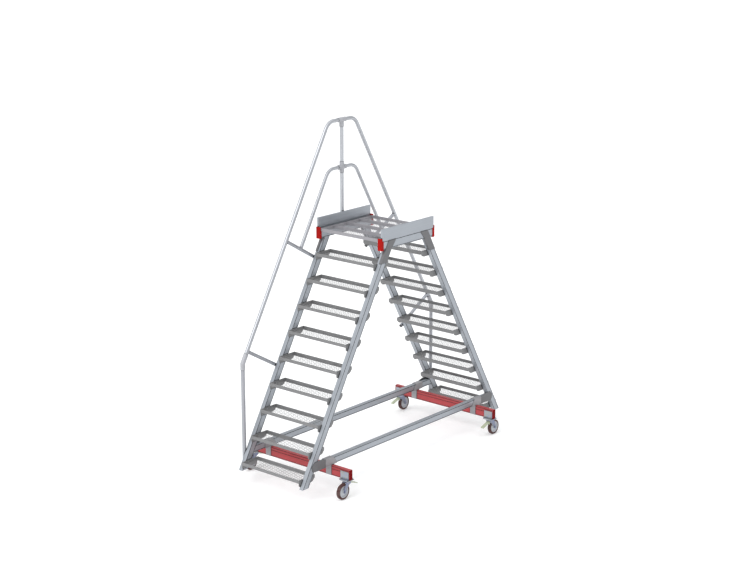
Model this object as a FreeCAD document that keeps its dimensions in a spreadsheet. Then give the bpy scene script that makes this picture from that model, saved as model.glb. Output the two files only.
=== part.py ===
import FreeCAD, Part
import os
import re
import Sketcher

# Rolling warehouse ladder: two 60 degree flights of nine treads that lean together under a
# platform, a handrail along the far side, and a base of two rails and two traverses on four
# braked swivel castors. Millimetres. +X runs along the ladder to the right flight, +Y to the
# handrail side, +Z up. The origin is on the floor under the middle of the platform.

DIMENSIONS = {
    # levels
    "rise": 240, "levels": 10, "slope": 60,
    # stiles and the plane they share with the platform beams and the base rails
    "half_width": 428, "stile_thick": 45, "stile_deep": 72, "stile_wall": 3, "side_wall": 4.5,
    "front_at_deck": 288, "stile_foot": 148, "foot_plug": 20,
    "groove_wide": 7, "groove_deep": 2.5, "groove_edge": 3,
    # treads and deck panels
    "tread_deep": 225, "tread_nose": 55, "front_bar": 33, "rear_bar": 40, "bar_thick": 4,
    "cheek_high": 67, "cheek_thick": 6, "cheek_corner": 8, "heel_low": 52, "heel_mid": 28,
    "heel_rise": 7, "heel_high": 37, "mesh_pitch": 30, "mesh_hole": 28, "mesh_thick": 2,
    "mesh_drop": 26, "deck_half": 400, "deck_panels": 4, "deck_gap": 2,
    # platform
    "beam_half": 385, "beam_low": 2298, "beam_top": 2384, "beam_wall": 3,
    "board_half": 403, "board_top": 2504, "board_thick": 20,
    "cap_low": 2290, "cap_top": 2410, "cap_end": 415, "cap_inner": 384, "cap_outer": 431,
    "lip_inner": 379, "sleeve_low": 2165, "sleeve_top": 2378, "sleeve_flange": 22,
    "sleeve_flare": 18,
    # base
    "rail_low": 297, "rail_high": 67, "traverse_x": 1165, "traverse_half": 670,
    "traverse_thick": 40, "traverse_low": 193, "traverse_high": 100, "traverse_wall": 3,
    "traverse_groove": 259, "end_cap": 6, "plate_thick": 4, "strap_wide": 67,
    "saddle_in": 70, "saddle_out": 90, "saddle_slope": 48,
    # handrail
    "tube_dia": 40, "tube_wall": 2, "brace_dia": 36, "sleeve_dia": 48, "rail_top": 3445,
    "knee_top": 2960, "rail_offset": 446, "knee_offset": 204, "bend_radius": 130,
    "lower_x": 1485, "lower_low": 200, "brace_high_foot": 2112, "brace_low_foot": 1108,
    "brace_past": 18, "pad_long": 30, "plug_thick": 4, "joint_gap": 1, "post_gap": 2,
    "elbow_gap": 6, "sleeve_arm": 55, "tee_drop": 70, "elbow_up": 100, "elbow_down": 60,
    # castors
    "swivel_y": 621, "bracket_y": 611, "trail": 59,
    "wheel_dia": 160, "tyre_wide": 38, "rim_dia": 120,
    "boss_wide": 42, "boss_dia": 36, "axle_dia": 12, "axle_cap": 20, "axle_cap_high": 6,
    "pivot_clear": 0.06, "fork_gap": 46, "fork_thick": 4, "crown_long": 68, "crown_shift": 4,
    "crown_low": 165, "crown_high": 169, "race_low": 175, "race_gap": 0.5, "race_dia": 60,
    "race_rim": 8, "pin_past": 12, "nut_across": 20, "nut_high": 10,
    "top_plate_low": 181, "top_plate_thick": 6, "top_plate_x": 100, "top_plate_y": 103,
    "side_plate_top": 272, "pedal_x": 20, "pedal_z": 156, "pedal_wide": 40, "pedal_pin": 8,
    "barrel_wall": 3,
    # fasteners
    "bolt_dia": 8, "head_high": 5, "head_dia": 14, "bolt_first": 18, "bolt_second": 52,
    "bracket_bolt_x": 38, "bracket_bolt_y": 40,
}

# Corners of flat plates, X and Z. The gusset's are on the right flight.
BASE_GUSSET = [("1257", "287"), ("1257", "372"), ("1330", "386"), ("1415", "384"),
               ("1456", "345"), ("1445", "300"), ("1416", "286")]
# The fork's leg stands in the castor's own frame.
FORK_LEG = [("-30", "crown_high"), ("38", "crown_high"), ("trail - 5", "134"),
            ("trail + 15", "wheel_dia / 2 + 8"), ("trail + 14", "wheel_dia / 2 - 10"),
            ("trail", "wheel_dia / 2 - 18"), ("trail - 14", "wheel_dia / 2 - 10"),
            ("trail - 22", "wheel_dia / 2 + 22"), ("-8", "140"), ("-28", "146")]
# The pedal's treadle and shoe are measured from its pin.
TREADLE = [(2, 5), (-112, -33), (-121, -42), (-117, -46), (-108, -39), (2, -1)]
SHOE = [(-5, -2), (-1, -32), (6, -32), (5, -2)]

doc = FreeCAD.newDocument("warehouse_ladder")
sheet = doc.addObject("Spreadsheet::Sheet", "dims")
for row, (alias, number) in enumerate(DIMENSIONS.items(), start=1):
    sheet.set(f"A{row}", alias)
    sheet.set(f"B{row}", str(number))
    sheet.setAlias(f"B{row}", alias)
doc.recompute()

NODES = []
SIDES = {"left": -1, "right": 1}
DEPTHS = {"near": -1, "far": 1}


# ---------------------------------------------------------------- helpers

def expression(text):
    """Put the sheet's name in front of every alias in the text."""
    def prefix(match):
        word = match.group(0)
        return "dims." + word if word in DIMENSIONS else word
    return re.sub(r"[a-z_]+", prefix, str(text))


def bind(thing, name, text):
    """Bind one property of an object to an expression of sheet cells."""
    thing.setExpression(name, expression(text))


def cell(alias):
    """The plain number in one cell of the sheet."""
    return float(sheet.get(alias))


def place(thing, at, axis=(0, 0, 1), angle=0):
    """Turn an object about an axis and bind where its base stands."""
    turn = FreeCAD.Rotation(FreeCAD.Vector(*axis), angle)
    return stand(thing, at, turn)


def stand(thing, at, turn):
    """Give an object a rotation and bind where its base stands."""
    thing.Placement = FreeCAD.Placement(FreeCAD.Vector(0, 0, 0), turn)
    for letter, text in zip("xyz", at):
        bind(thing, "Placement.Base." + letter, text)
    return thing


def box(size, centre):
    """A block given by its size and its centre."""
    block = doc.addObject("Part::Box", "block")
    for name, text in zip(("Length", "Width", "Height"), size):
        bind(block, name, text)
    low = [f"({middle}) - ({text}) / 2" for middle, text in zip(centre, size)]
    return place(block, low)


def rod(diameter, length, start, axis=(0, 0, 1), angle=0):
    """A round bar along +Z from its start, turned about an axis."""
    bar = doc.addObject("Part::Cylinder", "rod")
    bind(bar, "Radius", f"({diameter}) / 2")
    bind(bar, "Height", length)
    return place(bar, start, axis, angle)


def hexagon(across, length, start, axis=(0, 0, 1), angle=0):
    """A hexagonal bar along +Z from its start, turned about an axis."""
    prism = doc.addObject("Part::Prism", "hexagon")
    prism.Polygon = 6
    bind(prism, "Circumradius", f"({across}) / 2")
    bind(prism, "Height", length)
    return place(prism, start, axis, angle)


def fuse(*things):
    """Join things that touch or overlap into one solid."""
    joined = doc.addObject("Part::MultiFuse", "joined")
    joined.Shapes = list(things)
    joined.Refine = True
    return joined


def cut(base, *tools):
    """Take tools away from a base."""
    tool = tools[0] if len(tools) == 1 else group(*tools)
    rest = doc.addObject("Part::Cut", "rest")
    rest.Base = base
    rest.Tool = tool
    return rest


def group(*things):
    """Keep separate solids side by side in one object."""
    kept = doc.addObject("Part::Compound", "kept")
    kept.Links = list(things)
    return kept


def copy(master, at=(0, 0, 0), angle=0):
    """One more of a master piece, turned about +Z and put in its place."""
    return place(group(master), at, (0, 0, 1), angle)


def node(thing, name):
    """Name a finished sub-part: the label is its file's name."""
    thing.Label = name
    NODES.append(thing)
    return thing


def outline(points, plane="XZ"):
    """A closed sketch whose corners are bound to the sheet, on a plane through the origin."""
    sketch = doc.addObject("Sketcher::SketchObject", "outline")
    if plane == "XZ":
        turn = FreeCAD.Rotation(FreeCAD.Vector(1, 0, 0), 90)
        sketch.Placement = FreeCAD.Placement(FreeCAD.Vector(0, 0, 0), turn)
    here = [FreeCAD.Vector(10.0 * index, index % 2, 0) for index in range(len(points))]
    for index, start in enumerate(here):
        end = here[(index + 1) % len(here)]
        sketch.addGeometry(Part.LineSegment(start, end), False)
    for index, (across, up) in enumerate(points):
        following = (index + 1) % len(points)
        sketch.addConstraint(Sketcher.Constraint("Coincident", index, 2, following, 1))
        for kind, text in (("DistanceX", across), ("DistanceY", up)):
            made = sketch.addConstraint(Sketcher.Constraint(kind, -1, 1, index, 1, 1.0))
            bind(sketch, f"Constraints[{made}]", text)
    return sketch


def plate(points, thick, low_y):
    """A flat plate: an outline in the XZ plane given its thickness along +Y."""
    solid = doc.addObject("Part::Extrusion", "plate")
    solid.Base = outline(points)
    solid.DirMode = "Custom"
    solid.Dir = FreeCAD.Vector(0, 1, 0)
    solid.Solid = True
    bind(solid, "LengthFwd", thick)
    return place(solid, (0, low_y, 0))


def leaning(behind, deep, low, high, y_low, y_high):
    """A bar along the right flight with level ends.

    behind and deep are measured square to the slope, from the stiles' front line inwards.
    """
    bar = doc.addObject("Part::Wedge", "leaning")
    for mark, level in (("", low), ("2", high)):
        reach = f"{front(level)} - ({behind}) / sin(slope * 1 deg)"
        bind(bar, f"X{mark}max", reach)
        bind(bar, f"X{mark}min", f"{reach} - ({deep}) / sin(slope * 1 deg)")
        bind(bar, f"Z{mark}min", f"-({y_high})")
        bind(bar, f"Z{mark}max", f"-({y_low})")
    bind(bar, "Ymin", low)
    bind(bar, "Ymax", high)
    return place(bar, (0, 0, 0), (1, 0, 0), 90)


def front(level):
    """X of the right flight's front line at a level, as text."""
    return f"(front_at_deck + (rise * levels - ({level})) / tan(slope * 1 deg))"


def square_out(foot, out):
    """X and Z of a point that lies out from the front line, square to it, as texts."""
    across = f"{front(foot)} + ({out}) * sin(slope * 1 deg)"
    up = f"{foot} + ({out}) * cos(slope * 1 deg)"
    return across, up


def side_grooves(long, y, low, top):
    """Grooves along X near both edges of both side faces of a bar as thick as a stile."""
    levels = (f"{low} + groove_edge + groove_wide / 2", f"{top} - groove_edge - groove_wide / 2")
    return [box((long, "2 * groove_deep", "groove_wide"),
                ("0", f"{y} + {sign} * stile_thick / 2", level))
            for level in levels for sign in (-1, 1)]


INNER_HALF = "(half_width - stile_thick)"
STILE_Y = "(half_width - stile_thick / 2)"
RAIL_Y = "(half_width + tube_dia / 2)"


# ---------------------------------------------------------------- stiles

def stile(inner):
    """A hollow stile of the right flight, centred on Y = 0; inner is the tread side's sign."""
    low, high = "stile_foot", "beam_low"
    past_low, past_high = "(stile_foot - foot_plug)", "(beam_low + foot_plug)"
    half = "stile_thick / 2"
    body = leaning("0", "stile_deep", low, high, f"-{half}", half)
    hollow = leaning("stile_wall", "stile_deep - 2 * stile_wall", past_low, past_high,
                     f"-{half} + side_wall", f"{half} - side_wall")
    tools = [hollow]
    for behind in ("groove_edge", "stile_deep - groove_edge - groove_wide"):
        for face in (f"-{half}", half):
            tools.append(leaning(behind, "groove_wide", past_low, past_high,
                                 f"{face} - groove_deep", f"{face} + groove_deep"))
    for level in range(1, int(cell("levels"))):
        for drop in ("bolt_first", "bolt_second"):
            height = f"(rise * {level} - {drop})"
            across = f"{front(height)} - stile_deep / 2 / sin(slope * 1 deg)"
            start = f"{inner} * ({half} - 2 * side_wall)"
            tools.append(rod("bolt_dia", "stile_thick", (across, start, height),
                             (1, 0, 0), -90 * inner))
    return cut(body, *tools)


def stiles():
    """Make four stiles and return the plugs that close their feet."""
    masters = {inner: stile(inner) for inner in (-1, 1)}
    half = "stile_thick / 2 - side_wall"
    plug = leaning("stile_wall", "stile_deep - 2 * stile_wall", "stile_foot",
                   "stile_foot + foot_plug", f"-({half})", half)
    plugs = []
    for side, way in SIDES.items():
        angle = 0 if way > 0 else 180
        for depth, back in DEPTHS.items():
            at = ("0", f"{back} * {STILE_Y}", "0")
            node(copy(masters[-way * back], at, angle), f"stile_{side}_{depth}")
            plugs.append(copy(plug, at, angle))
    return plugs


# ---------------------------------------------------------------- treads and deck

def mesh_floor(deep, wide, thick, pitch, hole):
    """A flat open mesh, its top at Z = 0 and centred in X and Y."""
    rows = int((deep - pitch + hole) // pitch)
    columns = int((wide - pitch + hole) // pitch)
    rim = Part.makePlane(deep, wide, FreeCAD.Vector(-deep / 2, -wide / 2, -thick)).OuterWire
    wires = [rim]
    for row in range(rows):
        for column in range(columns):
            x = (row - (rows - 1) / 2) * pitch - hole / 2
            y = (column - (columns - 1) / 2) * pitch - hole / 2
            wires.append(Part.makePlane(hole, hole, FreeCAD.Vector(x, y, -thick)).OuterWire)
    face = Part.makeFace(wires, "Part::FaceMakerBullseye")
    return face.extrude(FreeCAD.Vector(0, 0, thick))


def mesh(deep, wide, at):
    """A mesh floor as an object: deep and wide are lengths, at binds its middle's top."""
    floor = doc.addObject("Part::Feature", "mesh")
    floor.Shape = mesh_floor(deep, wide, cell("mesh_thick"), cell("mesh_pitch"),
                             cell("mesh_hole"))
    return place(floor, at)


def tread():
    """One tread of the right flight; its origin is on the front line at its own top."""
    rear = "(tread_deep - tread_nose)"
    corners = [("tread_nose", "0"), ("tread_nose", "-(cheek_high - cheek_corner)"),
               ("tread_nose - cheek_corner", "-cheek_high"),
               (f"-{rear} + heel_low", "-cheek_high"),
               (f"-{rear} + heel_mid", "-(cheek_high - heel_rise)"),
               (f"-{rear}", "-(cheek_high - heel_high)"), (f"-{rear}", "0")]
    cheeks = [plate(corners, "cheek_thick", f"-{INNER_HALF}"),
              plate(corners, "cheek_thick", f"{INNER_HALF} - cheek_thick")]
    between = f"2 * ({INNER_HALF} - cheek_thick)"
    bars = [box(("bar_thick", between, "front_bar"),
                ("tread_nose - bar_thick / 2", "0", "-front_bar / 2")),
            box(("bar_thick", between, "rear_bar"),
                (f"-{rear} + bar_thick / 2", "0", "-rear_bar / 2"))]
    deep = cell("tread_deep") - 2 * cell("bar_thick")
    wide = 2 * (cell("half_width") - cell("stile_thick") - cell("cheek_thick"))
    floor = mesh(deep, wide, ("tread_nose - tread_deep / 2", "0", "-mesh_drop"))
    whole = fuse(*cheeks, *bars, floor)
    holes = []
    for drop in ("bolt_first", "bolt_second"):
        across = f"({drop} / tan(slope * 1 deg) - stile_deep / 2 / sin(slope * 1 deg))"
        holes.append(rod("bolt_dia", "2 * half_width", (across, "half_width", f"-{drop}"),
                         (1, 0, 0), 90))
    return cut(whole, *holes)


def treads():
    """Make nine treads in each flight and return the bolts at their ends."""
    master = tread()
    bolts = []
    for side, way in SIDES.items():
        angle = 0 if way > 0 else 180
        for level in range(1, int(cell("levels"))):
            height = f"rise * {level}"
            at = (f"{way} * {front(height)}", "0", height)
            node(copy(master, at, angle), f"tread_{side}_{level}")
            for drop in ("bolt_first", "bolt_second"):
                low = f"(rise * {level} - {drop})"
                across = f"{way} * ({front(low)} - stile_deep / 2 / sin(slope * 1 deg))"
                for back in (-1, 1):
                    start = f"{back} * ({INNER_HALF} - cheek_thick)"
                    bolts.append(bolt((across, start, low), back))
    return bolts


def bolt(start, back):
    """A bolt into a stile: its head lies on the cheek and its shank points outwards."""
    x, y, z = start
    shank = rod("bolt_dia", "cheek_thick + 2 * stile_wall", start, (1, 0, 0), -90 * back)
    head = hexagon("head_dia", "head_high", (x, f"{y} - {back} * head_high", z),
                   (1, 0, 0), -90 * back)
    return fuse(shank, head)


def deck():
    """Four mesh panels side by side between the platform beams."""
    width = "(2 * deck_half / deck_panels - deck_gap)"
    panels = []
    for index in range(int(cell("deck_panels"))):
        middle = f"((2 * {index} + 1 - deck_panels) * deck_half / deck_panels)"
        top = "rise * levels"
        level = f"{top} - front_bar / 2"
        pieces = []
        for sign in (-1, 1):
            edge = f"{middle} + {sign} * ({width} - bar_thick) / 2"
            pieces.append(box(("bar_thick", f"2 * {INNER_HALF}", "front_bar"),
                              (edge, "0", level)))
            end = f"{sign} * ({INNER_HALF} - bar_thick / 2)"
            pieces.append(box((width, "bar_thick", "front_bar"), (middle, end, level)))
        deep = 2 * cell("deck_half") / cell("deck_panels") - cell("deck_gap")
        deep -= 2 * cell("bar_thick")
        wide = 2 * (cell("half_width") - cell("stile_thick") - cell("bar_thick"))
        pieces.append(mesh(deep, wide, (middle, "0", f"{top} - mesh_drop")))
        panels.append(fuse(*pieces))
    node(group(*panels), "deck_panels")


# ---------------------------------------------------------------- platform

def top_sleeve(out):
    """The sleeve round the top of a right stile; out is the sign of its outer side on Y."""
    face, edge = f"{out} * stile_thick / 2", "plate_thick / sin(slope * 1 deg)"
    back = "(stile_deep + plate_thick) / sin(slope * 1 deg)"
    corners = [(f"{front('sleeve_low')} + {edge}", "sleeve_low"),
               (f"{front('sleeve_top')} + {edge}", "sleeve_top"),
               (f"{front('sleeve_top')} - {back} - sleeve_flare", "sleeve_top"),
               (f"{front('beam_low')} - {back}", "beam_low"),
               (f"{front('sleeve_low')} - {back}", "sleeve_low")]
    flat = plate(corners, "plate_thick", f"{face} + ({out} - 1) * plate_thick / 2")
    ends = [f"{face} - {out} * sleeve_flange", face]
    if out < 0:
        ends.reverse()
    flanges = [leaning(behind, "plate_thick", "sleeve_low", "beam_low", *ends)
               for behind in ("-plate_thick", "stile_deep")]
    return fuse(flat, *flanges)


def end_cap(y, way):
    """The cap on one end of a side beam, with the lip that stands before the toe board."""
    def block(x_low, y_low, z_high):
        size = (f"cap_end - {x_low}", f"cap_outer - {y_low}", f"{z_high} - cap_low")
        middle = (f"{way} * (cap_end + {x_low}) / 2", f"{y} * (cap_outer + {y_low}) / 2",
                  f"({z_high} + cap_low) / 2")
        return box(size, middle)

    return fuse(block("beam_half", "cap_inner", "beam_top"),
                block("board_half", "lip_inner", "cap_top"))


def platform():
    """Make the side beams, end caps and toe boards; return the sleeves that hold the stiles."""
    high = "(beam_top - beam_low)"
    middle = "(beam_top + beam_low) / 2"
    beams, caps, boards, sleeves_made = [], [], [], []
    masters = {out: top_sleeve(out) for out in (-1, 1)}
    for back in DEPTHS.values():
        y = f"{back} * {STILE_Y}"
        beam = box(("2 * beam_half", "stile_thick", high), ("0", y, middle))
        hollow = box(("2 * cap_end", "stile_thick - 2 * side_wall",
                      f"{high} - 2 * beam_wall"), ("0", y, middle))
        grooves = side_grooves("2 * cap_end", y, "beam_low", "beam_top")
        beams.append(cut(beam, hollow, *grooves))
        board_y = f"{back} * (half_width - board_thick / 2)"
        boards.append(box(("2 * board_half", "board_thick", "board_top - beam_top"),
                          ("0", board_y, "(board_top + beam_top) / 2")))
        for way in SIDES.values():
            caps.append(end_cap(back, way))
            sleeves_made.append(copy(masters[way * back], ("0", y, "0"),
                                     0 if way > 0 else 180))
    node(group(*beams), "platform_beams")
    node(group(*caps), "beam_end_caps")
    node(group(*boards), "toe_boards")
    return sleeves_made


# ---------------------------------------------------------------- base

def base_rails():
    """Two hollow rails low between the flights; their sloped ends meet the stiles' backs."""
    top = "(rail_low + rail_high)"
    behind = "stile_deep / sin(slope * 1 deg)"
    rails = []
    for back in DEPTHS.values():
        bar = doc.addObject("Part::Wedge", "rail")
        for mark, level in (("", "rail_low"), ("2", top)):
            bind(bar, f"X{mark}max", f"{front(level)} - {behind}")
            bind(bar, f"X{mark}min", f"-({front(level)} - {behind})")
            bind(bar, f"Z{mark}min", "-stile_thick / 2")
            bind(bar, f"Z{mark}max", "stile_thick / 2")
        bind(bar, "Ymin", "rail_low")
        bind(bar, "Ymax", top)
        place(bar, (0, 0, 0), (1, 0, 0), 90)
        long = f"2 * {front('0')}"
        middle = "rail_low + rail_high / 2"
        hollow = box((long, "stile_thick - 2 * side_wall", "rail_high - 2 * stile_wall"),
                     ("0", "0", middle))
        rail = cut(bar, hollow, *side_grooves(long, "0", "rail_low", top))
        rails.append(copy(rail, ("0", f"{back} * {STILE_Y}", "0")))
    node(group(*rails), "base_rails")


def base_gussets():
    """Return the plates on the outer faces that join each base rail to its stiles."""
    plates = []
    for way in SIDES.values():
        for back in DEPTHS.values():
            flat = plate(BASE_GUSSET, "plate_thick", "-plate_thick / 2")
            plates.append(copy(flat, ("0", f"{back} * (half_width + plate_thick / 2)", "0"),
                               0 if way > 0 else 180))
    return plates


def saddle():
    """A clamp that holds a rail on the right traverse; X and Y run from the crossing."""
    low = "(traverse_low + traverse_high)"
    top = "(rail_low + rail_high + plate_thick)"
    wide = "(stile_thick + 2 * plate_thick)"
    corners = [("-saddle_in", low), ("saddle_out", low), ("saddle_out", top),
               ("saddle_slope - saddle_in", top)]
    sides = [plate(corners, "plate_thick", f"{sign} * stile_thick / 2 + {shift}")
             for sign, shift in ((1, "0"), (-1, "(-plate_thick)"))]
    foot = box(("saddle_in + saddle_out", wide, f"rail_low - {low}"),
               ("(saddle_out - saddle_in) / 2", "0", f"(rail_low + {low}) / 2"))
    strap = box(("saddle_in + saddle_out - saddle_slope", wide, "plate_thick"),
                ("(saddle_out - saddle_in + saddle_slope) / 2", "0",
                 f"{top} - plate_thick / 2"))
    straps = [box(("plate_thick", "strap_wide", "rail_low - traverse_low"),
                  (f"{sign} * (traverse_thick + plate_thick) / 2", "0",
                   "(rail_low + traverse_low) / 2"))
              for sign in (-1, 1)]
    return fuse(*sides, foot, strap, *straps)


def base():
    """Two traverses across the rails, their end caps and the clamps at the crossings."""
    middle = "traverse_low + traverse_high / 2"
    inset = "(groove_edge + groove_wide / 2)"
    levels = (f"traverse_low + {inset}", "traverse_groove",
              f"traverse_low + traverse_high - {inset}")
    caps, saddles = [], []
    clamp = saddle()
    for side, way in SIDES.items():
        x = f"{way} * traverse_x"
        long = "2 * traverse_half"
        bar = box(("traverse_thick", long, "traverse_high"), (x, "0", middle))
        hollow = box(("traverse_thick - 2 * side_wall", f"{long} + 2 * end_cap",
                      "traverse_high - 2 * traverse_wall"), (x, "0", middle))
        grooves = [box(("2 * groove_deep", long, "groove_wide"),
                       (f"{x} + {sign} * traverse_thick / 2", "0", level))
                   for level in levels for sign in (-1, 1)]
        node(cut(bar, hollow, *grooves), f"traverse_{side}")
        for back in DEPTHS.values():
            caps.append(box(("traverse_thick", "end_cap", "traverse_high"),
                            (x, f"{back} * (traverse_half + end_cap / 2)", middle)))
            saddles.append(copy(clamp, (x, f"{back} * {STILE_Y}", "0"),
                                0 if way > 0 else 180))
    node(group(*caps), "traverse_end_caps")
    node(group(*saddles), "rail_saddles")


# ---------------------------------------------------------------- handrail

def bent_tube(diameter, offset, top, start_z, end_x):
    """A solid bent bar: up the right slope, round the bend and level towards the middle."""
    lean = 90 - cell("slope")
    tangent = "bend_radius * tan(slope / 2 * 1 deg)"
    corner = f"({front(top)} + ({offset}) / sin(slope * 1 deg))"
    start_x = f"{front(start_z)} + ({offset}) / sin(slope * 1 deg)"
    rise = f"(({top}) - ({start_z})) / sin(slope * 1 deg) - {tangent}"
    slope_bar = rod(diameter, rise, (start_x, "0", start_z), (0, 1, 0), -lean)
    bend = doc.addObject("Part::Torus", "bend")
    bind(bend, "Radius1", "bend_radius")
    bind(bend, "Radius2", f"({diameter}) / 2")
    bind(bend, "Angle3", "slope * 1 deg")
    upright = FreeCAD.Rotation(FreeCAD.Vector(1, 0, 0), 90)
    spin = FreeCAD.Rotation(FreeCAD.Vector(0, 0, 1), lean)
    level_start = f"{corner} - {tangent}"
    stand(bend, (level_start, "0", f"{top} - bend_radius"), upright.multiply(spin))
    level_bar = rod(diameter, f"{level_start} - ({end_x})", (level_start, "0", top),
                    (0, 1, 0), -90)
    return fuse(slope_bar, bend, level_bar)


def tube_of(maker, diameter, wall):
    """A hollow tube made of an outer and an inner bar."""
    return cut(maker(diameter), maker(f"{diameter} - 2 * {wall}"))


def bend_level():
    """The level where the sloping rail turns into the upright lower tube, as text."""
    reach = "(lower_x - front_at_deck - rail_offset / sin(slope * 1 deg))"
    return f"(rise * levels - {reach} * tan(slope * 1 deg))"


def brace(foot, rail_bar):
    """A brace square to the right flight, with the pad that lies on the stile."""
    x, z = square_out(foot, "-(stile_deep + brace_past)")
    long = "rail_offset + stile_deep + brace_past"
    outer = rod("brace_dia", long, (x, "0", z), (0, 1, 0), cell("slope"))
    inner = rod("brace_dia - 2 * tube_wall", long, (x, "0", z), (0, 1, 0), cell("slope"))
    pad_x, pad_z = square_out(foot, "-stile_deep")
    pad = box(("pad_long", "plate_thick", "stile_deep"), ("0", "0", "stile_deep / 2"))
    slab = place(group(pad), (pad_x, "(plate_thick - tube_dia) / 2", pad_z), (0, 1, 0),
                 cell("slope"))
    return cut(fuse(outer, slab), inner, rail_bar)


def handrail():
    """Make the handrail's tubes and sleeves and return the plugs of their open ends."""
    bend_z = bend_level()
    start = f"({bend_z} + elbow_gap * sin(slope * 1 deg))"

    def rail(diameter):
        return bent_tube(diameter, "rail_offset", "rail_top", start, "joint_gap")

    knee_start = "(brace_high_foot + knee_offset * cos(slope * 1 deg))"

    def knee(diameter):
        return bent_tube(diameter, "knee_offset", "knee_top", knee_start,
                         "tube_dia / 2 + joint_gap")

    rail_bar = rail("tube_dia")
    rail_tube = cut(rail_bar, rail("tube_dia - 2 * tube_wall"))
    x, z = square_out("brace_high_foot", "0")
    brace_bar = rod("brace_dia", "rail_offset", (x, "0", z), (0, 1, 0), cell("slope"))
    knee_tube = cut(tube_of(knee, "brace_dia", "tube_wall"), brace_bar)
    braces = [brace(foot, rail("tube_dia")) for foot in ("brace_high_foot",
                                                         "brace_low_foot")]
    low_long = f"{bend_z} - elbow_gap - lower_low"
    lower = cut(rod("tube_dia", low_long, ("lower_x", "0", "lower_low")),
                rod("tube_dia - 2 * tube_wall", low_long, ("lower_x", "0", "lower_low")))
    plugs = [rod("tube_dia", "plug_thick", ("lower_x", "0", "lower_low - plug_thick"))]
    for foot in ("brace_high_foot", "brace_low_foot"):
        x, z = square_out(foot, "-(stile_deep + brace_past + plug_thick)")
        plugs.append(rod("brace_dia", "plug_thick", (x, "0", z), (0, 1, 0), cell("slope")))
    masters = {"knee_rails": [knee_tube], "handrail_braces": braces,
               "lower_tubes": [lower], "plugs": plugs}
    pieces = {name: [] for name in masters}
    for side, way in SIDES.items():
        at = ("0", RAIL_Y, "0")
        for name, made in masters.items():
            for master in made:
                pieces[name].append(side_copy(master, at, way))
        node(side_copy(rail_tube, at, way), f"handrail_{side}")
    end_plugs = pieces.pop("plugs")
    for name, made in pieces.items():
        node(group(*made), name)
    post_long = "rail_top - tube_dia / 2 - post_gap - beam_low"
    post = cut(rod("tube_dia", post_long, ("0", RAIL_Y, "beam_low")),
               rod("tube_dia - 2 * tube_wall", post_long, ("0", RAIL_Y, "beam_low")))
    node(post, "handrail_post")
    node(group(*sleeves(bend_z)), "handrail_connectors")
    return end_plugs


def side_copy(master, at, way):
    """A copy for one side; the left one is mirrored in the YZ plane."""
    if way > 0:
        return copy(master, at)
    mirror = doc.addObject("Part::Mirroring", "mirror")
    mirror.Source = master
    mirror.Normal = FreeCAD.Vector(1, 0, 0)
    return place(group(mirror), at)


def sleeves(bend_z):
    """The tee on the post, the cross at the knee rails and the elbow on each lower tube."""
    lean = 90 - cell("slope")

    def level(diameter, long, height):
        return rod(diameter, f"2 * ({long})", (f"-({long})", RAIL_Y, height), (0, 1, 0), 90)

    def upright(diameter, long, top):
        return rod(diameter, long, ("0", RAIL_Y, f"{top} - ({long})"))

    tee = cut(fuse(level("sleeve_dia", "sleeve_arm", "rail_top"),
                   upright("sleeve_dia", "tee_drop", "rail_top")),
              level("tube_dia", "2 * sleeve_arm", "rail_top"),
              upright("tube_dia", "2 * tee_drop", "rail_top"))
    cross = cut(fuse(level("sleeve_dia", "sleeve_arm", "knee_top"),
                     upright("sleeve_dia", "2 * sleeve_arm", "knee_top + sleeve_arm")),
                level("brace_dia", "2 * sleeve_arm", "knee_top"),
                upright("tube_dia", "4 * sleeve_arm", "knee_top + 2 * sleeve_arm"))

    def elbow_bar(diameter, past):
        sloping = rod(diameter, f"elbow_up + {past}", ("lower_x", "0", bend_z), (0, 1, 0), -lean)
        down = f"elbow_down + {past}"
        lower = rod(diameter, down, ("lower_x", "0", f"{bend_z} - ({down})"))
        ball = doc.addObject("Part::Sphere", "ball")
        bind(ball, "Radius", f"({diameter}) / 2")
        place(ball, ("lower_x", "0", bend_z))
        return fuse(sloping, lower, ball)

    elbow = cut(elbow_bar("sleeve_dia", "0"), elbow_bar("tube_dia", "tube_dia"))
    elbows = [side_copy(elbow, ("0", RAIL_Y, "0"), way) for way in SIDES.values()]
    return [tee, cross, *elbows]


# ---------------------------------------------------------------- castors
# A castor's own frame: the floor under its swivel axis, the wheel trailing towards +X.

def castor_mount():
    """The bracket round the traverse's end and the swivel plate bolted under it."""
    plate_top = "(top_plate_low + top_plate_thick)"
    side_high = f"(side_plate_top - {plate_top})"
    foot = box(("top_plate_x", "top_plate_y", f"traverse_low - {plate_top}"),
               ("0", "0", f"(traverse_low + {plate_top}) / 2"))
    sides = [box(("plate_thick", "top_plate_y", side_high),
                 (f"{sign} * (traverse_thick + plate_thick) / 2", "0",
                  f"{plate_top} + {side_high} / 2"))
             for sign in (-1, 1)]
    return fuse(foot, *sides)


def swivel_plate():
    """The castor's top plate with its bearing race, the king pin and the pin's nut."""
    flat = box(("top_plate_x", "top_plate_y", "top_plate_thick"),
               ("0", "0", "top_plate_low + top_plate_thick / 2"))
    race = rod("race_dia", "top_plate_low - race_low - race_gap",
               ("0", "0", "race_low + race_gap"))
    pin = rod("axle_dia", "top_plate_low - crown_low + pin_past",
              ("0", "0", "crown_low - pin_past"))
    nut = hexagon("nut_across", "nut_high", ("0", "0", "crown_low - race_gap - nut_high"))
    return [cut(fuse(flat, race), pin), pin, cut(nut, pin)]


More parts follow.
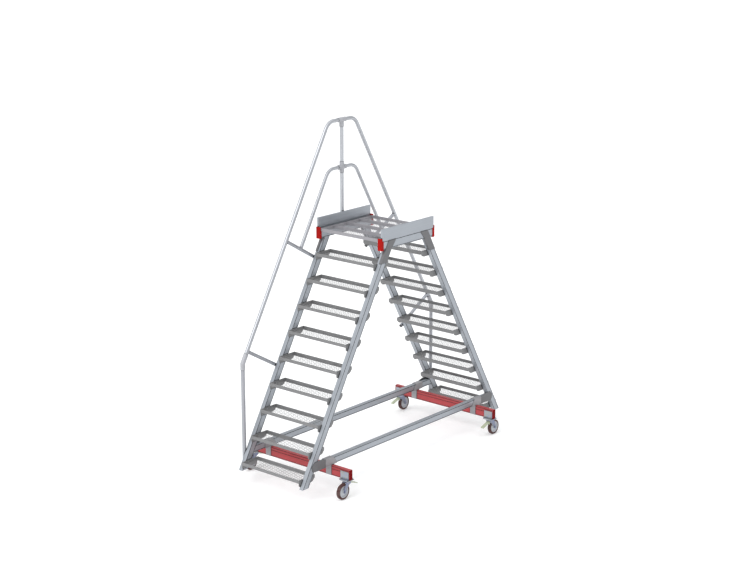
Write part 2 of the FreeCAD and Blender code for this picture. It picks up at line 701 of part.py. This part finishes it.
def fork():
    """The swivelling fork, with the axle and the pedal's pin that are fixed in it."""
    half_gap = "fork_gap / 2"
    outer = f"({half_gap} + fork_thick)"
    wheel_z = "wheel_dia / 2"
    crown = box(("crown_long", f"2 * {outer}", "crown_high - crown_low"),
                ("crown_shift", "0", "(crown_low + crown_high) / 2"))
    head = rod("race_dia + race_rim", "race_low - crown_high", ("0", "0", "crown_high"))
    legs = [plate(FORK_LEG, "fork_thick", low_y) for low_y in (f"-{outer}", half_gap)]
    bore = rod("axle_dia + 2 * pivot_clear", "fork_gap", ("0", "0", "crown_low - pin_past"))
    axle = rod("axle_dia", f"2 * {outer}", ("trail", outer, wheel_z), (1, 0, 0), 90)
    pin_at = ("-pedal_x", outer, "pedal_z")
    pin = rod("pedal_pin", f"2 * {outer}", pin_at, (1, 0, 0), 90)
    frame = cut(fuse(crown, head, *legs), bore, axle, pin)
    caps = [hexagon("axle_cap", "axle_cap_high", ("trail", end, wheel_z), (1, 0, 0), 90)
            for end in (f"-{outer}", f"{outer} + axle_cap_high")]
    return [frame, fuse(axle, *caps), pin]


def hub():
    """The wheel's hub, turned about its own axle on Y: a boss, a web and a rim."""
    bore = "(axle_dia / 2 + pivot_clear)"
    boss, rim = "(boss_dia / 2)", "(rim_dia / 2)"
    side, edge = "(boss_wide / 2)", "(tyre_wide / 2 - 2)"
    half = [(boss, side), (boss, "9"), (f"{rim} - 12", "6"), (f"{rim} - 8", edge), (rim, edge)]
    upper = [(bore, side), *half]
    lower = [(reach, f"-{across}") for reach, across in reversed(upper)]
    turned = doc.addObject("Part::Revolution", "hub")
    turned.Source = outline(upper + lower, "XY")
    turned.Axis = FreeCAD.Vector(0, 1, 0)
    turned.Angle = 360
    turned.Solid = True
    return place(turned, (0, 0, 0))


def tyre():
    """The tyre: a ring padded along its axle and rounded on both outer edges."""
    body = doc.addObject("PartDesign::Body", "tyre")
    sketch = body.newObject("Sketcher::SketchObject", "ring")
    floor = [item for item in body.Origin.OriginFeatures if item.Role == "XZ_Plane"][0]
    sketch.AttachmentSupport = (floor, [""])
    sketch.MapMode = "FlatFace"
    for index, diameter in enumerate(("wheel_dia", "rim_dia")):
        radius = cell(diameter) / 2
        circle = Part.Circle(FreeCAD.Vector(0, 0, 0), FreeCAD.Vector(0, 0, 1), radius)
        sketch.addGeometry(circle, False)
        sketch.addConstraint(Sketcher.Constraint("Coincident", index, 3, -1, 1))
        made = sketch.addConstraint(Sketcher.Constraint("Radius", index, radius))
        bind(sketch, f"Constraints[{made}]", f"{diameter} / 2")
    pad = body.newObject("PartDesign::Pad", "ring_pad")
    pad.Profile = sketch
    pad.Midplane = True
    bind(pad, "Length", "tyre_wide")
    doc.recompute()
    reach = cell("wheel_dia")
    edges = [f"Edge{index}" for index, edge in enumerate(pad.Shape.Edges, start=1)
             if abs(edge.BoundBox.XLength - reach) < 0.01 and len(edge.Vertexes) == 1]
    rounded = body.newObject("PartDesign::Fillet", "shoulders")
    rounded.Base = (pad, edges)
    bind(rounded, "Radius", "tyre_wide / 4")
    body.Tip = rounded
    return body


def pedal():
    """The brake pedal: a barrel on its pin, a treadle that slopes down and a shoe."""
    half = "pedal_wide / 2"
    treadle, shoe = [[(f"{across} - pedal_x", f"pedal_z + ({up})") for across, up in corners]
                     for corners in (TREADLE, SHOE)]
    barrel = rod("pedal_pin + 2 * barrel_wall", "pedal_wide", ("-pedal_x", half, "pedal_z"),
                 (1, 0, 0), 90)
    hole = rod("pedal_pin + 2 * pivot_clear", "2 * pedal_wide",
               ("-pedal_x", "pedal_wide", "pedal_z"), (1, 0, 0), 90)
    whole = fuse(barrel, plate(treadle, "pedal_wide", f"-{half}"),
                 plate(shoe, "pedal_wide / 2", f"-{half} / 2"))
    return cut(whole, hole)


def castors():
    """Make four castors, whose moving pieces have nodes of their own; return their bolts."""
    mount = castor_mount()
    fixed = swivel_plate()
    swung = group(*fork())
    wheel, rubber, brake = hub(), tyre(), pedal()
    brackets, plates, bolts = [], [], []
    for side, way in SIDES.items():
        angle = 0 if way > 0 else 180
        for depth, back in DEPTHS.items():
            place_name = f"{side}_{depth}"
            x, y = f"{way} * traverse_x", f"{back} * swivel_y"
            at = (x, y, "0")
            axle_at = (f"{way} * (traverse_x + trail)", y, "wheel_dia / 2")
            bracket_y = f"{back} * bracket_y"
            brackets.append(copy(mount, (x, bracket_y, "0"), angle))
            plates += [copy(piece, at, angle) for piece in fixed]
            for across in (-1, 1):
                for along in (-1, 1):
                    head = (f"{x} + {across} * bracket_bolt_x",
                            f"{bracket_y} + {along} * bracket_bolt_y", "traverse_low")
                    bolts.append(hexagon("head_dia", "head_high", head))
            node(copy(swung, at, angle), f"fork_{place_name}")
            node(copy(brake, at, angle), f"pedal_{place_name}")
            node(copy(wheel, axle_at, angle), f"hub_{place_name}")
            node(copy(rubber, axle_at, angle), f"tyre_{place_name}")
    node(group(*brackets), "castor_brackets")
    node(group(*plates), "swivel_plates")
    return bolts


# ---------------------------------------------------------------- build and write

def check():
    """Stop if any object failed or any sub-part's shape is empty or invalid."""
    for item in doc.Objects:
        if "Invalid" in item.State or "Error" in item.State:
            raise RuntimeError(f"{item.Name} ({item.Label}) is {item.State}")
    for thing in NODES:
        if thing.Shape.isNull() or not thing.Shape.isValid() or not thing.Shape.Solids:
            raise RuntimeError(f"{thing.Label} has no valid solid")


def main():
    """Build every sub-part, check them all and write one STEP file for each."""
    plugs = stiles()
    bolts = treads()
    deck()
    gussets = platform()
    base_rails()
    gussets += base_gussets()
    base()
    plugs += handrail()
    bolts += castors()
    node(group(*plugs), "end_plugs")
    node(group(*gussets), "gusset_plates")
    node(group(*bolts), "bolts")
    doc.recompute()
    check()
    os.makedirs("parts", exist_ok=True)
    for thing in NODES:
        thing.Shape.exportStep(f"parts/{thing.Label}.step")


main()
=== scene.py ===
import math

import bpy
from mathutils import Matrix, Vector


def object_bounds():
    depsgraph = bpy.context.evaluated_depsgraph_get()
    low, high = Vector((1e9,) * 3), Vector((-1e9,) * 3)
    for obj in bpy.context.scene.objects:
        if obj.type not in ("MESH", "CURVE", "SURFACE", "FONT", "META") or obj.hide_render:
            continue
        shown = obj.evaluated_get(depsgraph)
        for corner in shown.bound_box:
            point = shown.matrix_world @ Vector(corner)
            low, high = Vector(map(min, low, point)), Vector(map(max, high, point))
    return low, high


# Rolling platform ladder, in metres: two aluminium flights with galvanised mesh treads, a
# handrail along the far side, and two red traverses on four braked castors, on a pale floor.

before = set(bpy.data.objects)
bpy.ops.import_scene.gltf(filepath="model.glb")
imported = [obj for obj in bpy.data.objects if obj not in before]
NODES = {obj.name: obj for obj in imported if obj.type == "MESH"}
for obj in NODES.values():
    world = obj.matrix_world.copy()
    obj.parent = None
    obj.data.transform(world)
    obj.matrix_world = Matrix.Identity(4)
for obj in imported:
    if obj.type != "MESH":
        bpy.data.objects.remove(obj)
cad_low, cad_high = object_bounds()

SLOPE = math.radians(60)

# Sockets of the colour mix node, which share their names with its other kinds of mix.
MIX_FIRST, MIX_SECOND, MIX_RESULT = 6, 7, 2

# A bevel's normal against the face's own: their product on a sharp edge and on a flat face.
EDGE_SHARP, EDGE_FLAT = 0.75, 0.995

# Painted shade in grooves and corners: how far around a point it looks for other faces, how much
# darker than the piece the painted shade is, and the openness at which it is full and at which it
# ends.
PAINTED_SHADE_REACH = 0.014
PAINTED_SHADE_DEPTH = 0.92
PAINTED_SHADE_FULL, PAINTED_SHADE_END = 0.74, 0.97


# ---------------------------------------------------------------- node helpers

class Shader:
    """One material's node tree, with short calls for the nodes that this scene uses."""

    def __init__(self, name, color, metallic, roughness):
        self.material = bpy.data.materials.new(name)
        self.material.use_nodes = True
        self.tree = self.material.node_tree
        self.bsdf = self.tree.nodes["Principled BSDF"]
        self.bsdf.inputs["Base Color"].default_value = (*color, 1)
        self.bsdf.inputs["Metallic"].default_value = metallic
        self.bsdf.inputs["Roughness"].default_value = roughness
        self.color = color
        self.place = self.add("ShaderNodeTexCoord").outputs["Object"]

    def add(self, kind, **inputs):
        """A node; each keyword is an input's name with _ for a space, and its value or link."""
        made = self.tree.nodes.new(kind)
        for name, value in inputs.items():
            self.put(made.inputs[name.replace("_", " ")], value)
        return made

    def put(self, socket, value):
        """Link a node's output to a socket, or set the socket to a value."""
        if isinstance(value, bpy.types.NodeSocket):
            self.tree.links.new(value, socket)
        else:
            socket.default_value = value

    def mapped(self, scale, rotation=(0, 0, 0)):
        """Object coordinates, turned first and then stretched."""
        turned = self.add("ShaderNodeMapping", Vector=self.place, Rotation=rotation)
        stretched = self.add("ShaderNodeMapping", Vector=turned.outputs[0], Scale=scale)
        return stretched.outputs[0]

    def noise(self, scale, detail=3, vector=None, roughness=0.5):
        """Cloudy noise from 0 to 1, finer at a larger scale."""
        made = self.add("ShaderNodeTexNoise", Vector=vector or self.place, Scale=scale,
                        Detail=detail, Roughness=roughness)
        return made.outputs["Fac"]

    def cells(self, scale):
        """A random grey for each Voronoi cell."""
        made = self.add("ShaderNodeTexVoronoi", Vector=self.place, Scale=scale)
        return self.add("ShaderNodeSeparateColor", Color=made.outputs["Color"]).outputs[0]

    def span(self, value, low, high, start=0.0, end=1.0):
        """A value between start and end mapped to low up to high, clamped."""
        made = self.add("ShaderNodeMapRange", Value=value)
        for name, number in zip(("From Min", "From Max", "To Min", "To Max"),
                                (start, end, low, high)):
            made.inputs[name].default_value = number
        return made.outputs["Result"]

    def maths(self, operation, first, second):
        """The sum or the product of two numbers or outputs."""
        made = self.add("ShaderNodeMath")
        made.operation = operation
        self.put(made.inputs[0], first)
        self.put(made.inputs[1], second)
        return made.outputs[0]

    def times(self, first, second):
        return self.maths("MULTIPLY", first, second)

    def plus(self, first, second):
        return self.maths("ADD", first, second)

    def blend(self, amount, first, second):
        """A colour mixed from two colours by an amount."""
        made = self.tree.nodes.new("ShaderNodeMix")
        made.data_type = "RGBA"
        self.put(made.inputs["Factor"], amount)
        for index, value in ((MIX_FIRST, first), (MIX_SECOND, second)):
            whole = value if isinstance(value, bpy.types.NodeSocket) else (*value, 1)
            self.put(made.inputs[index], whole)
        return made.outputs[MIX_RESULT]

    def scaled(self, factor):
        """The base colour times a factor."""
        return tuple(min(1, part * factor) for part in self.color)

    def shaded(self, amount, low, high):
        """The base colour times low up to high, by an amount from 0 to 1."""
        return self.blend(amount, self.scaled(low), self.scaled(high))

    def edges(self, radius):
        """How strongly a point lies on a sharp edge, from 0 to 1."""
        bevel = self.add("ShaderNodeBevel", Radius=radius)
        flat = self.add("ShaderNodeNewGeometry")
        dot = self.tree.nodes.new("ShaderNodeVectorMath")
        dot.operation = "DOT_PRODUCT"
        self.put(dot.inputs[0], bevel.outputs[0])
        self.put(dot.inputs[1], flat.outputs["Normal"])
        return self.span(dot.outputs["Value"], 1, 0, EDGE_SHARP, EDGE_FLAT)

    def hollows(self):
        """How deep a point lies in a groove or a corner, from 0 in the open to 1: where painted
        shade goes.
        """
        shade = self.add("ShaderNodeAmbientOcclusion", Distance=PAINTED_SHADE_REACH)
        return self.span(shade.outputs["AO"], 1, 0, PAINTED_SHADE_FULL, PAINTED_SHADE_END)

    def painted_hollow_shade(self, tone):
        """A colour darkened with painted shade in grooves and corners, where shade falls."""
        return self.blend(self.hollows(), tone, self.scaled(1 - PAINTED_SHADE_DEPTH))

    def finish(self, color, roughness, height, strength, distance, bevel=0.0008):
        """Link the surface's colour, roughness and relief, and return the material."""
        self.put(self.bsdf.inputs["Base Color"], color)
        self.put(self.bsdf.inputs["Roughness"], roughness)
        rounded = self.add("ShaderNodeBevel", Radius=bevel)
        relief = self.add("ShaderNodeBump", Height=height, Strength=strength,
                          Distance=distance, Normal=rounded.outputs[0])
        self.put(self.bsdf.inputs["Normal"], relief.outputs[0])
        return self.material


# ---------------------------------------------------------------- materials

# Base colours.
ALUMINIUM = (0.375, 0.40, 0.435)
TUBE = (0.45, 0.462, 0.49)
# Lower tubes and braces: a darker copy of the tube aluminium, painted shade against the light the
# glowing floor throws up onto them.
SHADED_LOWER_TUBE = (0.38, 0.39, 0.42)
POST = (0.50, 0.515, 0.545)
GALVANISED = (0.205, 0.205, 0.208)
DECK = (0.30, 0.293, 0.312)
SADDLE = (0.315, 0.312, 0.325)
GUSSET = (0.150, 0.150, 0.156)
RED = (0.40, 0.045, 0.050)
CAP_RED = (0.37, 0.006, 0.004)
END_RED = (0.17, 0.003, 0.005)
ZINC = (0.36, 0.375, 0.415)
FORK = (0.22, 0.235, 0.32)
PALE_GREEN = (0.42, 0.46, 0.33)
HUB = (0.50, 0.52, 0.555)
RUBBER = (0.070, 0.028, 0.027)
SLEEVE = (0.40, 0.405, 0.43)
BOLT = (0.33, 0.34, 0.36)
BLACK = (0.022, 0.022, 0.025)
DUST = (0.42, 0.41, 0.39)
FLOOR_DUST = (0.26, 0.22, 0.20)
FLOOR = (0.86, 0.86, 0.86)

# Where most of a noise's values lie.
MIDDLE = (0.3, 0.7)

# How finely marks repeat in a metre, along a piece and twice across it.
STREAKS = (0.5, 70, 70)
DIE_LINES = (3, 900, 900)
SCUFFS = (18, 3, 90)
ROLLING_MARKS = (40, 420, 420)


def extruded(name, turn, color=ALUMINIUM, roughness=0.42):
    """Mill-finish aluminium with die lines along one direction: turn brings it onto X."""
    s = Shader(name, color, metallic=0.62, roughness=roughness)
    streaks = s.noise(1, detail=4, vector=s.mapped(STREAKS, turn), roughness=0.6)
    lines = s.noise(1, detail=2, vector=s.mapped(DIE_LINES, turn), roughness=0.7)
    cloud = s.noise(2.6, detail=5)
    mottle = s.span(s.plus(streaks, cloud), 0, 1, start=0.75, end=1.3)
    worn = s.times(s.edges(radius=0.0015), 0.45)
    bright = s.blend(worn, s.shaded(mottle, 0.93, 1.06), s.scaled(1.22))
    rough = s.plus(s.span(streaks, -0.05, 0.06, *MIDDLE),
                   s.span(cloud, roughness - 0.04, roughness + 0.05))
    # The colour is darkened with painted shade in grooves and corners.
    return s.finish(s.painted_hollow_shade(bright), rough, lines, strength=0.22, distance=0.0004)


def galvanised(name, color=GALVANISED, spangle=38):
    """Hot-dip galvanised steel: a dull grey with crystals of slightly different greys."""
    s = Shader(name, color, metallic=0.12, roughness=0.55)
    crystal = s.cells(spangle)
    frost = s.noise(260)
    cloud = s.noise(5, detail=4)
    mottle = s.times(s.plus(crystal, s.plus(frost, cloud)), 0.34)
    worn = s.times(s.edges(radius=0.0015), s.span(cloud, 0.2, 0.7, start=0.35, end=0.65))
    tone = s.blend(worn, s.shaded(mottle, 0.82, 1.20), s.scaled(1.5))
    rough = s.span(s.plus(crystal, frost), 0.44, 0.66, start=0.4, end=1.6)
    return s.finish(tone, rough, frost, strength=0.3, distance=0.0006)


def powder_coat(name, color, roughness=0.42):
    """A satin coating with orange peel, paler where its edges are rubbed."""
    s = Shader(name, color, metallic=0.0, roughness=roughness)
    s.bsdf.inputs["Specular IOR Level"].default_value = 0.35
    s.bsdf.inputs["Coat Weight"].default_value = 0.08
    s.bsdf.inputs["Coat Roughness"].default_value = 0.3
    peel = s.noise(520, detail=2)
    cloud = s.noise(4, detail=5)
    patches = s.noise(22, detail=4)
    scuff = s.noise(1, detail=5, vector=s.mapped(SCUFFS), roughness=0.7)
    rubbed = s.times(s.edges(radius=0.002), s.span(patches, 0.15, 0.75, start=0.4, end=0.62))
    chalk = s.span(scuff, 0, 0.25, start=0.62, end=0.8)
    pale = tuple(min(1, part + 0.22) for part in color)
    tone = s.blend(s.plus(rubbed, chalk), s.shaded(s.span(cloud, 0, 1, *MIDDLE), 0.92, 1.08),
                   pale)
    rough = s.span(peel, roughness - 0.06, roughness + 0.08, *MIDDLE)
    # The colour is darkened with painted shade in grooves and corners.
    return s.finish(s.painted_hollow_shade(tone), rough, peel, strength=0.12, distance=0.0006)


def moulded(name, color, roughness=0.45, grain=700, dust=0.06, gloss=0.5):
    """Moulded plastic with a fine grain and a little dust."""
    s = Shader(name, color, metallic=0.0, roughness=roughness)
    s.bsdf.inputs["Specular IOR Level"].default_value = gloss
    fine = s.noise(grain)
    cloud = s.noise(18, detail=5)
    dusty = s.span(cloud, 0, dust, start=0.5, end=0.75)
    tone = s.blend(dusty, s.shaded(s.span(cloud, 0, 1, *MIDDLE), 0.93, 1.07), DUST)
    rough = s.span(cloud, roughness - 0.05, roughness + 0.1, *MIDDLE)
    return s.finish(tone, rough, fine, strength=0.25, distance=0.0004)


def zinc_plated(name, color=ZINC, roughness=0.34):
    """Bright zinc plate: a cold metal with faint blue and straw clouds and rolling marks."""
    s = Shader(name, color, metallic=0.8, roughness=roughness)
    cloud = s.noise(34, detail=4)
    marks = s.noise(1, vector=s.mapped(ROLLING_MARKS), roughness=0.6)
    red, green, blue = color
    bluish = (red * 0.90, green * 0.98, min(1, blue * 1.14))
    straw = (red * 1.10, green * 1.04, blue * 0.88)
    plate = s.blend(s.span(cloud, 0, 1, start=0.35, end=0.65), bluish, straw)
    worn = s.times(s.edges(radius=0.001), 0.5)
    rough = s.span(marks, roughness - 0.08, roughness + 0.10, *MIDDLE)
    return s.finish(s.blend(worn, plate, s.scaled(1.3)), rough, marks, strength=0.10,
                    distance=0.0003, bevel=0.0005)


def rubber(name, color=RUBBER):
    """Red-brown rubber with a fine skin and floor dust in patches."""
    s = Shader(name, color, metallic=0.0, roughness=0.72)
    s.bsdf.inputs["Specular IOR Level"].default_value = 0.35
    skin = s.noise(900)
    patch = s.noise(30, detail=5)
    dusty = s.span(patch, 0.0, 0.32, start=0.46, end=0.72)
    tone = s.blend(dusty, s.shaded(s.span(patch, 0, 1, *MIDDLE), 0.85, 1.2), FLOOR_DUST)
    return s.finish(tone, s.span(patch, 0.62, 0.84), skin, strength=0.35, distance=0.0005)


# Turns that bring a piece's length onto X.
ALONG_X = (0, 0, 0)
ALONG_Z = (0, math.radians(90), 0)
UP_LEFT = (0, SLOPE, 0)
UP_RIGHT = (0, -SLOPE, 0)

LOOKS = {
    "along_x": extruded("aluminium_along_x", ALONG_X),
    "left": extruded("aluminium_left_flight", UP_LEFT),
    "right": extruded("aluminium_right_flight", UP_RIGHT),
    "tube_left": extruded("aluminium_tube_left", UP_LEFT, TUBE, 0.36),
    "tube_right": extruded("aluminium_tube_right", UP_RIGHT, TUBE, 0.36),
    "post": extruded("aluminium_post", ALONG_Z, POST, 0.36),
    # Braces and lower tubes take the darker, painted-shade copy of the tube aluminium.
    "brace": extruded("aluminium_brace", ALONG_Z, SHADED_LOWER_TUBE, 0.36),
    "lower_tube": extruded("aluminium_lower_tube", ALONG_Z, SHADED_LOWER_TUBE, 0.36),
    "sleeve": galvanised("sleeve_cast", SLEEVE, 90),
    "tread": galvanised("tread_galvanised"),
    "deck": galvanised("deck_galvanised", DECK),
    "saddle": galvanised("saddle_galvanised", SADDLE, 70),
    "gusset": galvanised("gusset_galvanised", GUSSET, 60),
    "red": powder_coat("red_powder_coat", RED),
    "cap": moulded("red_moulded", CAP_RED, 0.45, 500, 0.015, 0.07),
    "end": moulded("dark_red_moulded", END_RED, 0.5, 500, 0.01, 0.04),
    "zinc": zinc_plated("zinc_plate"),
    "fork": zinc_plated("fork_zinc", FORK),
    "bolt": zinc_plated("bolt_zinc", BOLT, 0.38),
    "black": moulded("black_moulded", BLACK, 0.5),
    "pedal": moulded("pale_green_moulded", PALE_GREEN, 0.42),
    "hub": moulded("hub_moulded", HUB, 0.4, 600, 0.05),
    "tyre": rubber("red_brown_rubber"),
}

# The start of a node's name and its look, tried in this order.
NODE_LOOKS = [
    ("stile_left", "left"), ("stile_right", "right"), ("tread_", "tread"),
    ("deck_panels", "deck"), ("platform_beams", "along_x"), ("beam_end_caps", "cap"),
    ("toe_boards", "along_x"), ("base_rails", "along_x"), ("traverse_end_caps", "end"),
    ("traverse_", "red"), ("rail_saddles", "saddle"), ("handrail_left", "tube_left"),
    ("handrail_right", "tube_right"), ("handrail_post", "post"),
    ("handrail_connectors", "sleeve"), ("handrail_braces", "brace"),
    ("knee_rails", "tube_left"), ("lower_tubes", "lower_tube"), ("castor_brackets", "zinc"),
    ("swivel_plates", "zinc"), ("end_plugs", "black"), ("gusset_plates", "gusset"),
    ("bolts", "bolt"), ("fork_", "fork"), ("pedal_", "pedal"), ("hub_", "hub"),
    ("tyre_", "tyre"),
]


def look_of(name):
    """The look of a CAD node, by the start of its name."""
    return next(look for start, look in NODE_LOOKS if name.startswith(start))


for name, thing in NODES.items():
    for place in thing.material_slots:
        place.material = LOOKS[look_of(name)]


# ---------------------------------------------------------------- stage, light and camera

# Floor: half its side, how far under the wheels it lies, its glow and roughness. Lamps: where they
# stand, their strength and their width in degrees.
FLOOR_HALF = 400.0
FLOOR_GAP = 0.001
FLOOR_GLOW = 0.22
FLOOR_ROUGHNESS = 0.6
SKY = (0.97, 0.985, 1.0, 1)
SKY_STRENGTH = 0.70
KEY_TOWARDS, KEY_STRENGTH, KEY_SPREAD = (-1.0, 0.05, 1.0), 1.7, 40
TOP_TOWARDS, TOP_STRENGTH, TOP_SPREAD = (0.1, -0.2, 1.0), 0.7, 60
CAMERA_AT = Vector((-12.775, -10.786, 6.238))
CAMERA_AIM = Vector((0.0537, 0.0515, 1.7204))
FOCAL_LENGTH = 81.58
SENSOR_WIDTH = 36
FAR_CLIP = 2000


def placed(name, data):
    """A new object in the scene."""
    made = bpy.data.objects.new(name, data)
    bpy.context.scene.collection.objects.link(made)
    return made


def facing(thing, way):
    """Turn an object so that its -Z axis, along which lamps and cameras look, has a way."""
    thing.rotation_mode = "QUATERNION"
    thing.rotation_quaternion = way.to_track_quat("-Z", "Y")


def floor():
    """A wide pale floor under the wheels."""
    s = Shader("studio_floor", FLOOR, metallic=0.0, roughness=FLOOR_ROUGHNESS)
    s.bsdf.inputs["Emission Color"].default_value = (1, 1, 1, 1)
    s.bsdf.inputs["Emission Strength"].default_value = FLOOR_GLOW
    tone = s.shaded(s.noise(0.6), 0.995, 1.005)
    grain = s.noise(40)
    half = FLOOR_HALF
    mesh = bpy.data.meshes.new("floor")
    corners = [(-half, -half, 0), (half, -half, 0), (half, half, 0), (-half, half, 0)]
    mesh.from_pydata(corners, [], [(0, 1, 2, 3)])
    mesh.materials.append(s.finish(tone, FLOOR_ROUGHNESS, grain, 0.02, 0.0005))
    made = placed("floor", mesh)
    made.location = (0, 0, cad_low.z - FLOOR_GAP)


def sun(name, towards, strength, spread):
    """A broad distant light that stands towards a direction, its width in degrees."""
    lamp = bpy.data.lights.new(name, "SUN")
    lamp.energy = strength
    lamp.angle = math.radians(spread)
    facing(placed(name, lamp), -Vector(towards))


def studio():
    """An even sky and two large soft lights."""
    world = bpy.data.worlds.new("studio")
    world.use_nodes = True
    sky = world.node_tree.nodes["Background"]
    sky.inputs["Color"].default_value = SKY
    sky.inputs["Strength"].default_value = SKY_STRENGTH
    bpy.context.scene.world = world
    sun("key", KEY_TOWARDS, KEY_STRENGTH, KEY_SPREAD)
    sun("top", TOP_TOWARDS, TOP_STRENGTH, TOP_SPREAD)
    settings = bpy.context.scene.view_settings
    settings.view_transform = "Standard"
    settings.look = "None"


def camera():
    """A long lens, high and far off the near left corner, aimed at the middle of the ladder."""
    lens = bpy.data.cameras.new("camera")
    lens.sensor_width = SENSOR_WIDTH
    lens.lens = FOCAL_LENGTH
    lens.clip_end = FAR_CLIP
    made = placed("camera", lens)
    made.location = CAMERA_AT
    facing(made, CAMERA_AIM - CAMERA_AT)
    bpy.context.scene.camera = made


floor()
studio()
camera()
